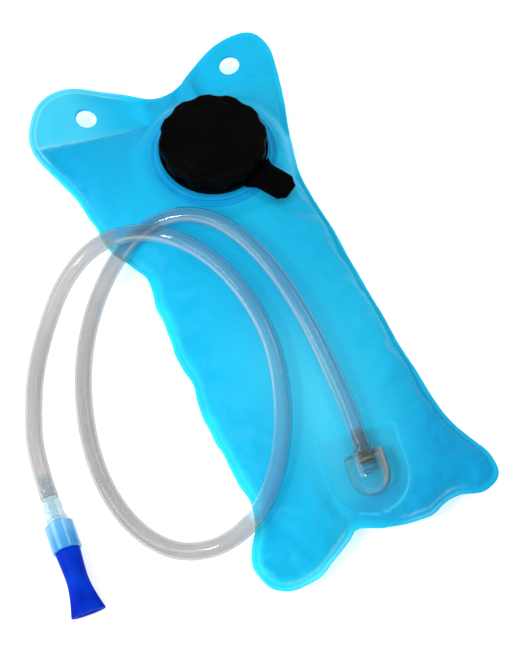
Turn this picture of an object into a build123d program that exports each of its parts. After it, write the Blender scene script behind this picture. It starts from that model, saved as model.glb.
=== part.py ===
"""Hydration bladder: a welded film reservoir with a screw filler, an outlet port, a hose and a bite valve.

The bag lies on its back. Origin: bottom centre of the bag. +X across it, +Y towards the filler and
the two hanging ears, +Z up. Millimetres.
"""

from build123d import *
import os
from math import cos, pi, radians, sin, tan

os.makedirs("parts", exist_ok=True)

# ---------------------------------------------------------------- driving dimensions

FILM = 0.8  # thickness of one film
SEAM_Z = 14.0  # height of the plane in which the two films are welded
DOME_X = 1.0  # the chamber's centre line
HANG_HOLES = ((-45.0, 158.0), (56.0, 157.0))
HANG_HOLE_R = 6.5

# The bag's outline, clockwise from the valley between the two ears.
OUTLINE = [
    (8, 152.3), (18.5, 155), (28, 162.3), (38, 168.8), (49, 173.7), (60, 177), (72, 177.5),
    (81, 174), (85.5, 165.5), (86, 157), (83.8, 144), (80.2, 129), (76.6, 116), (72, 101.5),
    (67.2, 86), (63.2, 70.5), (61.3, 54), (61.3, 30), (61.6, 4), (61.8, -20), (62, -50),
    (62.3, -85), (62.7, -108), (64.5, -126.5), (68.5, -138), (73, -149.5), (76.3, -159.5),
    (76, -168), (70, -175.3), (62, -177.5), (55.5, -176), (50, -174.2), (44, -173.9), (37.5, -175.4),
    (27, -177.8), (17, -177.6), (7.5, -175.6), (-3, -171.8), (-9.5, -168.7), (-14.5, -166.9),
    (-19.5, -169.7), (-28, -175.6), (-39.5, -181.7), (-51, -184.4), (-62, -184), (-70.5, -180.4),
    (-76, -172), (-76.3, -162), (-72.8, -153), (-66.5, -143.5), (-62.5, -133), (-61.8, -120),
    (-63.3, -100), (-64, -80), (-62.8, -57), (-61.2, -40), (-62, -25), (-60, -8), (-59.3, 10),
    (-57, 22), (-57.6, 34), (-62.5, 45), (-67.5, 56), (-70.5, 70), (-72, 85), (-73, 101),
    (-76.5, 115), (-80, 126.5), (-84, 138), (-85.5, 149), (-82.5, 161), (-76, 171.8),
    (-67, 180.5), (-56.5, 184.2), (-46, 183.2), (-35, 178.8), (-23.5, 172.3), (-10.5, 161.8),
    (-1, 154.5),
]
# The water chamber: station along Y, half width, rise of the front film, drop of the back film.
CHAMBER = [
    (-160, 46, 4, 4), (-142, 57, 9, 12), (-112, 57, 13, 17), (-60, 56, 18.5, 18.5),
    (0, 55, 21, 19), (48, 55.5, 20, 18.5), (86, 63, 17, 17), (116, 66, 11, 14), (134, 60, 3, 4),
]
SHOULDER = (0.62, 0.82)  # where a section's shoulder stands, as parts of its half width and rise

# The filler: flange, threaded neck and screw cap, all on one upright axis.
NECK_X, NECK_Y = 14.0, 88.5
NECK_Z = 31.0  # underside of the flange, where it is welded to the front film
FLANGE_R, FLANGE_T = 40.0, 1.2
STEP_R, STEP_T = 36.5, 1.6
FLANGE_TOP = NECK_Z + FLANGE_T + STEP_T
NECK_R, NECK_BORE_R = 27.5, 25.0
NECK_H = 10.0
PITCH = 4.0
THREAD_BASE, THREAD_CREST = 2.2, 1.0
NECK_CREST_R, CAP_CREST_R = 29.2, 28.2
CAP_BORE_R = 29.8
GASKET_T = 1.5
CAP_R = 33.6
CAP_TOP_T = 2.6
CAP_LOBES = 12
GRIP_Z = FLANGE_TOP + 5.4  # underside of the lobed grip
SKIRT_Z = FLANGE_TOP + 2.6  # underside of the cap's skirt
SKIRT_R, LIP_R = 31.2, 32.2
CAP_RING_R, CAP_RING_BORE_R = 34.0, 31.6
NECK_RING_R, NECK_RING_BORE_R = 33.0, 29.6
LEASH_T = 1.8
LEASH_W = 16.0
LEASH_REACH = 56.0  # from the neck's axis to the outside of the leash's fold
LEASH_ANGLE = -59.0  # degrees from +X
CAP_RING_Z = FLANGE_TOP + 3.2
NECK_RING_Z = FLANGE_TOP + 0.2

# The hose: outer and inner diameter, and its route from the outlet to the drinking end.
HOSE_D, HOSE_BORE_D = 10.5, 7.0
ROUTE = [
    (6.5, -131.0, 31.8), (9.4, -112.0, 34.6), (10.9, -86.0, 38.4), (11.7, -50.0, 42.0),
    (9.6, -12.7, 43.0), (2.5, 18.0, 43.0), (-10.7, 41.5, 42.0), (-30.0, 54.0, 38.0),
    (-53.0, 55.7, 29.5), (-74.9, 45.7, 19.0), (-95.1, 28.1, 9.0), (-112.8, 1.2, 5.3),
    (-125.4, -31.7, 5.3), (-131.8, -63.9, 5.3), (-131.1, -92.2, 5.3), (-123.8, -117.1, 6.0),
    (-109.5, -136.5, 9.5), (-87.0, -145.5, 17.0), (-62.4, -140.4, 25.0), (-41.4, -122.1, 33.0),
    (-23.9, -93.0, 39.0), (-13.0, -56.5, 42.5), (-12.4, -20.5, 43.0), (-19.5, 10.6, 43.0),
    (-34.2, 35.4, 43.0), (-55.4, 50.5, 43.0), (-80.1, 55.4, 36.5), (-104.3, 47.4, 23.5),
    (-123.8, 29.7, 11.5), (-140.9, 7.0, 6.2), (-152.1, -18.7, 8.2), (-161.3, -46.7, 12.0),
    (-163.5, -74.5, 10.4),
]

# The outlet port, on the hose's first run. Lengths run from the hose's end, down the bag.
PLATE_W, PLATE_T, PLATE_CORNER = 43.0, 1.6, 7.0
PLATE_TOP, PLATE_STRAIGHT = -11.0, 13.5
AXIS_RISE = 6.0  # of the nipple's axis over the plate
HOOD_R, HOOD_RISE = 12.0, 3.0
HOOD_START, HOOD_STRAIGHT = 3.0, 15.0
SOCKET_R, SOCKET_END = 5.0, 13.0
PORT_HOLE_R, PORT_HOLE_Y = 4.0, 10.0
PAD_DEPTH = 12.0
NIPPLE_R, NIPPLE_BORE_R, NIPPLE_BULB_R = 3.45, 2.3, 4.0
NIPPLE_TIP = 12.0
O_RING_R = 0.8

# The drinking end. Lengths run from the hose's end, along its last run.
STEM_DEPTH = 14.0
CUP_R, CUP_BORE_R = 8.6, 7.3
CUP_START, CUP_FLOOR, CUP_END = 15.5, 23.5, 33.0
SPIGOT_R, SPIGOT_END = 4.0, 31.0
VALVE_GAP = 0.3
VALVE_END = 71.0
VALVE_WALL = 2.2
SLIT_LENGTH, SLIT_WIDTH = 10.0, 0.5


def save(part, name):
    """Names a finished piece and writes it."""
    part.label = name
    export_step(part, f"parts/{name}.step")
    print(name, "volume", round(part.volume, 1), "valid", part.is_valid)


def along(start, end, origin):
    """A plane at origin whose +Z runs the way from start to end, with +X level and +Y upward."""
    axis = (Vector(*end) - Vector(*start)).normalized()
    return Plane(origin=origin, x_dir=Vector(0, 0, 1).cross(axis), z_dir=axis)


OUTLET = along(ROUTE[0], ROUTE[1], ROUTE[0])
DRINK = along(ROUTE[-2], ROUTE[-1], ROUTE[-1])
# The underside of the port's plate: +Z out of the bag, +Y down the bag from the hose's end.
PORT_BED = Plane(
    origin=OUTLET.from_local_coords(Vector(0, -AXIS_RISE - PLATE_T, 0)),
    x_dir=OUTLET.x_dir,
    z_dir=OUTLET.y_dir,
)

# ---------------------------------------------------------------- the two films


def pillow(inset, up):
    """The chamber above or below the weld plane, inset by the film's thickness or by nothing."""
    sign = 1 if up else -1
    last = len(CHAMBER) - 1
    with BuildPart() as solid:
        for number, (y, half, rise, drop) in enumerate(CHAMBER):
            shift = inset if number == 0 else -inset if number == last else 0
            wide = half - 1.5 * inset
            high = sign * ((rise if up else drop) - inset)
            with BuildSketch(Plane.XZ.offset(-y - shift)):
                with BuildLine():
                    arch = Spline(
                        (DOME_X - wide, SEAM_Z),
                        (DOME_X - SHOULDER[0] * wide, SEAM_Z + SHOULDER[1] * high),
                        (DOME_X, SEAM_Z + high),
                        (DOME_X + SHOULDER[0] * wide, SEAM_Z + SHOULDER[1] * high),
                        (DOME_X + wide, SEAM_Z),
                    )
                    foot = SEAM_Z - sign * (inset + 0.4)
                    Polyline(arch @ 1, (DOME_X + wide, foot), (DOME_X - wide, foot), arch @ 0)
                make_face()
        loft()
    return solid.part


def plate_outline(plane, grow):
    """The port plate: straight across at its top end, with round corners, and half round at the other."""
    half = PLATE_W / 2 + grow
    with BuildSketch(plane) as shape:
        with BuildLine():
            sides = FilletPolyline(
                (-half, PLATE_STRAIGHT), (-half, PLATE_TOP - grow),
                (half, PLATE_TOP - grow), (half, PLATE_STRAIGHT),
                radius=PLATE_CORNER + grow,
            )
            ThreePointArc(sides @ 1, (0, PLATE_STRAIGHT + half), sides @ 0)
        make_face()
    return shape.sketch


def seat(plane, radius):
    """A disc round the filler's axis."""
    with BuildSketch(plane) as disc:
        with Locations((NECK_X, NECK_Y)):
            Circle(radius)
    return disc.sketch


def front_solid(inset):
    """The front film's outside, or its hollow: the pillow, with flat seats for filler and port."""
    grow = 0.6 - 1.5 * inset
    with BuildPart() as solid:
        add(pillow(inset, True))
        extrude(seat(Plane.XY.offset(SEAM_Z), FLANGE_R + grow), amount=NECK_Z - SEAM_Z - inset)
        extrude(plate_outline(PORT_BED.offset(-inset), grow), amount=-PAD_DEPTH)
        extrude(
            seat(Plane.XY.offset(NECK_Z - inset), FLANGE_R + 0.6), amount=PAD_DEPTH,
            mode=Mode.SUBTRACT,
        )
        extrude(plate_outline(PORT_BED.offset(-inset), 0.6), amount=PAD_DEPTH, mode=Mode.SUBTRACT)
    return solid.part


with BuildSketch() as outline:
    with BuildLine():
        Spline(*OUTLINE, periodic=True)
    make_face()
middle = outline.sketch.bounding_box().center()
outline_face = outline.sketch.moved(Location((-middle.X, -middle.Y, 0)))
print("outline", outline_face.bounding_box().size, "moved by", middle)

with BuildPart() as front_film:
    add(front_solid(0))
    with BuildSketch(Plane.XY.offset(SEAM_Z)):
        add(outline_face)
    extrude(amount=FILM)
    add(front_solid(FILM), mode=Mode.SUBTRACT)
    split(bisect_by=Plane.XY.offset(SEAM_Z), keep=Keep.TOP)
    with Locations((NECK_X, NECK_Y, NECK_Z)):
        Hole(NECK_BORE_R)
    with BuildSketch(PORT_BED):
        with Locations((0, PORT_HOLE_Y)):
            Circle(PORT_HOLE_R)
    extrude(amount=-2 * FILM, both=True, mode=Mode.SUBTRACT)
    with Locations(*[(x, y, SEAM_Z + FILM) for x, y in HANG_HOLES]):
        Hole(HANG_HOLE_R)
save(front_film.part, "front_film")

with BuildPart() as back_hollow:
    add(pillow(FILM, False))
    split(bisect_by=Plane.XY.offset(FILM), keep=Keep.TOP)

with BuildPart() as back_film:
    add(pillow(0, False))
    with BuildSketch(Plane.XY.offset(SEAM_Z)):
        add(outline_face)
    extrude(amount=-FILM)
    split(bisect_by=Plane.XY, keep=Keep.TOP)
    split(bisect_by=Plane.XY.offset(SEAM_Z), keep=Keep.BOTTOM)
    add(back_hollow.part, mode=Mode.SUBTRACT)
    with Locations(*[(x, y, SEAM_Z) for x, y in HANG_HOLES]):
        Hole(HANG_HOLE_R)
save(back_film.part, "back_film")

# ---------------------------------------------------------------- filler, cap and leash


def thread(root_r, crest_r, base_z, first, last):
    """A right-handed ridge on a wall, from its first to its last turn up from base_z."""
    sink = 0.4 if crest_r > root_r else -0.4
    with BuildPart() as ridge:
        with BuildLine():
            helix = Helix(PITCH, PITCH * (last - first), root_r, center=(0, 0, base_z + PITCH * first))
        with BuildSketch(Plane(origin=helix @ 0, x_dir=(1, 0, 0), z_dir=helix % 0)):
            with BuildLine():
                Polyline(
                    (-sink, -THREAD_BASE / 2), (crest_r - root_r, -THREAD_CREST / 2),
                    (crest_r - root_r, THREAD_CREST / 2), (-sink, THREAD_BASE / 2),
                    close=True,
                )
            make_face()
        sweep(path=helix.edge(), is_frenet=True)
    return ridge.part.rotate(Axis.Z, 360 * first).moved(Location((NECK_X, NECK_Y, 0)))


def ring(inner_r, outer_r, z, height):
    """A plain ring round the filler's axis."""
    with BuildPart() as solid:
        with BuildSketch(Plane.XY.offset(z)):
            with Locations((NECK_X, NECK_Y)):
                Circle(outer_r)
                Circle(inner_r, mode=Mode.SUBTRACT)
        extrude(amount=height)
    return solid.part


NECK_TOP = FLANGE_TOP + NECK_H
THREAD_Z = FLANGE_TOP + 3.6
with BuildPart() as filler_neck:
    add(ring(NECK_BORE_R, FLANGE_R, NECK_Z, FLANGE_T))
    chamfer(filler_neck.edges().group_by(Axis.Z)[-1].sort_by(SortBy.RADIUS)[-1], 0.6)
    add(ring(NECK_BORE_R, STEP_R, NECK_Z + FLANGE_T, STEP_T))
    chamfer(filler_neck.edges().group_by(Axis.Z)[-1].sort_by(SortBy.RADIUS)[-1], 0.6)
    add(ring(NECK_BORE_R, NECK_R, FLANGE_TOP, NECK_H))
    chamfer(filler_neck.edges().group_by(Axis.Z)[-1].sort_by(SortBy.RADIUS)[-1], 0.8)
    add(thread(NECK_R, NECK_CREST_R, THREAD_Z, 0, 1.1))
save(filler_neck.part, "filler_neck")

GASKET_Z = NECK_TOP + 0.1
CAP_FLOOR = GASKET_Z + GASKET_T
CAP_TOP = CAP_FLOOR + CAP_TOP_T
save(ring(NECK_BORE_R + 0.2, CAP_CREST_R - 0.2, GASKET_Z, GASKET_T), "cap_gasket")

LOBE_CUT_R, LOBE_CUT_DEPTH = 9.0, 1.3
with BuildPart() as screw_cap:
    with BuildSketch(Plane.XY.offset(GRIP_Z)):
        with Locations((NECK_X, NECK_Y)):
            Circle(CAP_R)
            with PolarLocations(CAP_R + LOBE_CUT_R - LOBE_CUT_DEPTH, CAP_LOBES):
                Circle(LOBE_CUT_R, mode=Mode.SUBTRACT)
    extrude(amount=CAP_TOP - GRIP_Z)
    chamfer(screw_cap.edges().group_by(Axis.Z)[-1], 1.2)
    add(ring(CAP_BORE_R, LIP_R, SKIRT_Z, 0.4))
    add(ring(CAP_BORE_R, SKIRT_R, SKIRT_Z, GRIP_Z - SKIRT_Z))
    with BuildSketch(Plane.XY.offset(SKIRT_Z)):
        with Locations((NECK_X, NECK_Y)):
            Circle(CAP_BORE_R)
    extrude(amount=CAP_FLOOR - SKIRT_Z, mode=Mode.SUBTRACT)
    add(thread(CAP_BORE_R, CAP_CREST_R, THREAD_Z - PITCH / 2, 0.55, 1.5))
save(screw_cap.part, "screw_cap")
save(ring(CAP_RING_BORE_R, CAP_RING_R, CAP_RING_Z, LEASH_T), "leash_cap_ring")

LEASH_PLANE = Plane(
    origin=(NECK_X, NECK_Y, 0),
    x_dir=(cos(radians(LEASH_ANGLE)), sin(radians(LEASH_ANGLE)), 0),
    z_dir=(sin(radians(LEASH_ANGLE)), -cos(radians(LEASH_ANGLE)), 0),
)
FOLD_R = (CAP_RING_Z + LEASH_T - NECK_RING_Z) / 2
FOLD_X = LEASH_REACH - FOLD_R
with BuildPart() as leash_strap:
    with BuildSketch(LEASH_PLANE):
        with Locations((FOLD_X, NECK_RING_Z + FOLD_R)):
            Circle(FOLD_R)
            Circle(FOLD_R - LEASH_T, mode=Mode.SUBTRACT)
            Rectangle(FOLD_R + 1, 2 * FOLD_R, align=(Align.MAX, Align.CENTER), mode=Mode.SUBTRACT)
        with Locations((FOLD_X, NECK_RING_Z)):
            Rectangle(FOLD_X - NECK_RING_R + 2, LEASH_T, align=(Align.MAX, Align.MIN))
        with Locations((FOLD_X, CAP_RING_Z)):
            Rectangle(FOLD_X - CAP_RING_R - 0.3, LEASH_T, align=(Align.MAX, Align.MIN))
    extrude(amount=LEASH_W / 2, both=True)
    add(ring(NECK_RING_BORE_R, NECK_RING_R, NECK_RING_Z, LEASH_T))
    with BuildSketch(Plane.XY.offset(NECK_RING_Z)):
        with Locations((NECK_X, NECK_Y)):
            Circle(NECK_RING_BORE_R)
    extrude(amount=LEASH_T, mode=Mode.SUBTRACT)
save(leash_strap.part, "leash_strap")

# ---------------------------------------------------------------- outlet port and nipple


def turned(plane, points):
    """A solid turned about a plane's +Z from an outline of radius and length along the axis."""
    with BuildPart() as solid:
        with BuildSketch(Plane(origin=plane.origin, x_dir=plane.y_dir, z_dir=plane.x_dir)):
            with BuildLine():
                Polyline(*points, close=True)
            make_face()
        revolve(axis=Axis(plane.origin, plane.z_dir))
    return solid.part


HOOD_AXIS = Plane(
    origin=OUTLET.from_local_coords(Vector(0, HOOD_RISE - AXIS_RISE, 0)),
    x_dir=OUTLET.x_dir,
    z_dir=-OUTLET.z_dir,
)
with BuildPart() as outlet_port:
    with BuildSketch(Plane(HOOD_AXIS.origin, x_dir=HOOD_AXIS.z_dir, z_dir=HOOD_AXIS.x_dir)):
        with BuildLine():
            roof = Line((HOOD_START, HOOD_R), (HOOD_STRAIGHT, HOOD_R))
            nose = RadiusArc(roof @ 1, (HOOD_STRAIGHT + HOOD_R, 0), HOOD_R)
            Polyline(nose @ 1, (HOOD_START, 0), roof @ 0)
        make_face()
    revolve(axis=Axis(HOOD_AXIS.origin, HOOD_AXIS.z_dir))
    split(bisect_by=PORT_BED, keep=Keep.TOP)
    extrude(plate_outline(PORT_BED, 0), amount=PLATE_T)
    with BuildSketch(Plane(OUTLET.origin, x_dir=OUTLET.x_dir, z_dir=-OUTLET.z_dir)):
        Circle(SOCKET_R)
    extrude(amount=SOCKET_END, mode=Mode.SUBTRACT)
    with BuildSketch(PORT_BED):
        with Locations((0, PORT_HOLE_Y)):
            Circle(PORT_HOLE_R)
    extrude(amount=AXIS_RISE + PLATE_T, mode=Mode.SUBTRACT)
save(outlet_port.part, "outlet_port")

PLUG_R = SOCKET_R - 0.05
PLUG_END = -SOCKET_END + 4.0
GROOVE_R, GROOVE_END, GROOVE_START = PLUG_R - 2 * O_RING_R - 0.05, -7.6, -5.8
COLLAR_R = 6.0
nipple = turned(
    OUTLET,
    [
        (NIPPLE_BORE_R, PLUG_END), (PLUG_R, PLUG_END), (PLUG_R, GROOVE_END), (GROOVE_R, GROOVE_END),
        (GROOVE_R, GROOVE_START), (PLUG_R, GROOVE_START), (PLUG_R, -HOOD_START),
        (COLLAR_R, -HOOD_START), (COLLAR_R, -0.4), (COLLAR_R - 0.4, 0), (NIPPLE_R, 0), (NIPPLE_R, 7),
        (NIPPLE_BULB_R, 8.5), (NIPPLE_BULB_R, 10), (NIPPLE_R, NIPPLE_TIP), (NIPPLE_BORE_R, NIPPLE_TIP),
    ],
)
save(nipple, "hose_nipple")

with BuildPart() as o_ring:
    with BuildSketch(Plane(origin=OUTLET.origin, x_dir=OUTLET.y_dir, z_dir=OUTLET.x_dir)):
        with Locations((PLUG_R - O_RING_R, (GROOVE_START + GROOVE_END) / 2)):
            Circle(O_RING_R)
    revolve(axis=Axis(OUTLET.origin, OUTLET.z_dir))
save(o_ring.part, "nipple_o_ring")

# ---------------------------------------------------------------- hose


def corner_radii(points):
    """The largest easy radius at each corner: 0.45 of the shorter run over tan of half the turn."""
    radii = []
    for before, corner, after in zip(points, points[1:], points[2:]):
        arriving, leaving = corner - before, after - corner
        half_turn = radians(arriving.get_angle(leaving)) / 2
        radii.append(0.45 * min(arriving.length, leaving.length) / tan(half_turn))
    return radii


corners = [Vector(*point) for point in ROUTE]
radii = corner_radii(corners)
print("cord radii", [round(radius) for radius in radii])
with BuildPart() as hose:
    with BuildLine():
        route = FilletPolyline(*corners, radius=radii)
    with BuildSketch(OUTLET):
        Circle(HOSE_D / 2)
        Circle(HOSE_BORE_D / 2, mode=Mode.SUBTRACT)
    sweep(path=route.wire(), transition=Transition.RIGHT)
section = pi * (HOSE_D**2 - HOSE_BORE_D**2) / 4
print("hose length", round(route.length, 1), "volume ratio", hose.part.volume / section / route.length)
save(hose.part, "hose")

# ---------------------------------------------------------------- drinking end

STEM_R, STEM_BARB_R, STEM_BORE_R = 3.45, 3.9, 2.3
connector = turned(
    DRINK,
    [
        (STEM_BORE_R, -STEM_DEPTH), (STEM_R, -STEM_DEPTH), (STEM_BARB_R, -12), (STEM_BARB_R, -11),
        (STEM_R, -11), (STEM_R, -8), (STEM_BARB_R, -6), (STEM_BARB_R, -5), (STEM_R, -5), (STEM_R, 0),
        (5.3, 0), (5.9, 6.4), (5.0, 6.4), (5.4, 7.6), (6.4, 13.2), (5.0, 13.2), (5.0, CUP_START),
        (CUP_R - 1.2, CUP_START), (CUP_R, CUP_START + 1.2), (CUP_R, CUP_END - 0.6),
        (CUP_R - 0.4, CUP_END), (CUP_BORE_R, CUP_END), (CUP_BORE_R, CUP_FLOOR), (SPIGOT_R, CUP_FLOOR),
        (SPIGOT_R, SPIGOT_END - 1), (SPIGOT_R - 0.8, SPIGOT_END), (STEM_BORE_R, SPIGOT_END),
    ],
)
save(connector, "valve_connector")


def oval_loft(stations):
    """A loft along DRINK through sections (length, half width, half height), round at its foot."""
    with BuildPart() as solid:
        for length, half_width, half_height in stations:
            with BuildSketch(DRINK.offset(length)):
                Ellipse(half_width, half_height)
        loft()
    return solid.part


FOOT_R = CUP_BORE_R - VALVE_GAP
FOOT = CUP_FLOOR + VALVE_GAP
NECKED = 6.3  # the waist's half width
with BuildPart() as bite_valve:
    add(turned(DRINK, [(0, FOOT), (FOOT_R, FOOT), (FOOT_R, CUP_END + 1), (0, CUP_END + 1)]))
    add(
        oval_loft(
            [
                (CUP_END - 2, 6.5, 6.4), (CUP_END + 3, 7.0, 6.8), (41, 6.8, 6.4),
                (50, NECKED, NECKED - 0.6), (58, 7.1, 5.3), (65.5, 8.7, 4.7), (VALVE_END, 10.0, 4.3),
            ]
        )
    )
    add(
        turned(
            DRINK,
            [
                (0, FOOT), (SPIGOT_R + VALVE_GAP, FOOT), (SPIGOT_R + VALVE_GAP, SPIGOT_END + 1),
                (4.4, 33), (4.4, 42), (0, 42),
            ],
        ),
        mode=Mode.SUBTRACT,
    )
    add(
        oval_loft([(37, 3.2, 3.1), (45, 4.0, 3.7), (58, 4.7, 3.1), (VALVE_END - 3, 7.2, 2.2)]),
        mode=Mode.SUBTRACT,
    )
    with BuildSketch(DRINK.offset(VALVE_END + 1)):
        Rectangle(SLIT_LENGTH, SLIT_WIDTH)
    extrude(amount=-6, mode=Mode.SUBTRACT)
save(bite_valve.part, "bite_valve")
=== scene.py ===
"""Hydration bladder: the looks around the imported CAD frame.

Everything is in metres, in the row frame. Tables are in millimetres and are scaled when a mesh is made.
"""

from math import cos, pi, radians, sin, tau

import bpy
import numpy as np
from mathutils import Matrix, Vector
from mathutils.geometry import delaunay_2d_cdt


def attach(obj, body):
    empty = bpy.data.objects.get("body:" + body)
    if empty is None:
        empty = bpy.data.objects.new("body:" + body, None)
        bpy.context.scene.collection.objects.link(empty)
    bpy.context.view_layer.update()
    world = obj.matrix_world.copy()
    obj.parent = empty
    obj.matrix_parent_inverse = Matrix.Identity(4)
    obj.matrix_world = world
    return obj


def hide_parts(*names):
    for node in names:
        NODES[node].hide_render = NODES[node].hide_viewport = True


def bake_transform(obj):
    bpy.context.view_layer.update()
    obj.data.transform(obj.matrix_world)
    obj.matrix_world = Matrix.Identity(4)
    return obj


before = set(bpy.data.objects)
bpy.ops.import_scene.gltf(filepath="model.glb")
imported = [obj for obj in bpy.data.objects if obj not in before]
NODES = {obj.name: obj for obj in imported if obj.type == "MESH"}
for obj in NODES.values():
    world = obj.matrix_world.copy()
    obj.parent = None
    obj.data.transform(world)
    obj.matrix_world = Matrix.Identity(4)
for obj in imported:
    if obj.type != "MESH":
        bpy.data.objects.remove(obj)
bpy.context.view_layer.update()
MM = 0.001
scene = bpy.context.scene

# ---- camera

AZIMUTH, ELEVATION = radians(-25.35), radians(61.92)
TARGET = Vector((-6.2, -28.3, 14.0)) * MM
DISTANCE = 0.968
BACK = Vector((sin(AZIMUTH) * cos(ELEVATION), -cos(AZIMUTH) * cos(ELEVATION), sin(ELEVATION)))
RIGHT = Vector((cos(AZIMUTH), sin(AZIMUTH), 0))

camera = bpy.data.objects.new("camera", bpy.data.cameras.new("camera"))
scene.collection.objects.link(camera)
camera.data.sensor_fit = "HORIZONTAL"
camera.data.sensor_width = 36.0
camera.data.lens = 109.8
camera.data.clip_start, camera.data.clip_end = 0.02, 50.0
camera.matrix_world = Matrix.Translation(TARGET + BACK * DISTANCE) @ Matrix(
    (RIGHT, BACK.cross(RIGHT), BACK)
).transposed().to_4x4()
scene.camera = camera

# ---- the hose's route

HOSE_D, HOSE_BORE_D = 10.5, 7.0
HOSE_ROOM = 0.7  # how far the film stays off the hose's wall
COIL_MIDDLE = np.array([-58.0, -45.0])
# A script fitted x and y to the hose in the photo; only the heights were given.
ROUTE = [
    (6.5, -131.0, 31.8), (9.4, -112.0, 34.6), (10.9, -86.0, 38.4), (11.7, -50.0, 42.0),
    (9.6, -12.7, 43.0), (2.5, 18.0, 43.0), (-10.7, 41.5, 42.0), (-30.0, 54.0, 38.0),
    (-53.0, 55.7, 29.5), (-74.9, 45.7, 19.0), (-95.1, 28.1, 9.0), (-112.8, 1.2, 5.3),
    (-125.4, -31.7, 5.3), (-131.8, -63.9, 5.3), (-131.1, -92.2, 5.3), (-123.8, -117.1, 6.0),
    (-109.5, -136.5, 9.5), (-87.0, -145.5, 17.0), (-62.4, -140.4, 25.0), (-41.4, -122.1, 33.0),
    (-23.9, -93.0, 39.0), (-13.0, -56.5, 42.5), (-12.4, -20.5, 43.0), (-19.5, 10.6, 43.0),
    (-34.2, 35.4, 43.0), (-55.4, 50.5, 43.0), (-80.1, 55.4, 36.5), (-104.3, 47.4, 23.5),
    (-123.8, 29.7, 11.5), (-140.9, 7.0, 6.2), (-152.1, -18.7, 8.2), (-161.3, -46.7, 12.0),
    (-163.5, -74.5, 10.4),
]
LAST_RUN = Vector(ROUTE[-1]) - Vector(ROUTE[-2])
DRINK_WAY = LAST_RUN.normalized()

# ---- materials


def unit(v):
    return v / np.linalg.norm(v)


PATCHES = (0.3, 0.7)  # the part of a noise's range over which a paint changes


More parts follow.
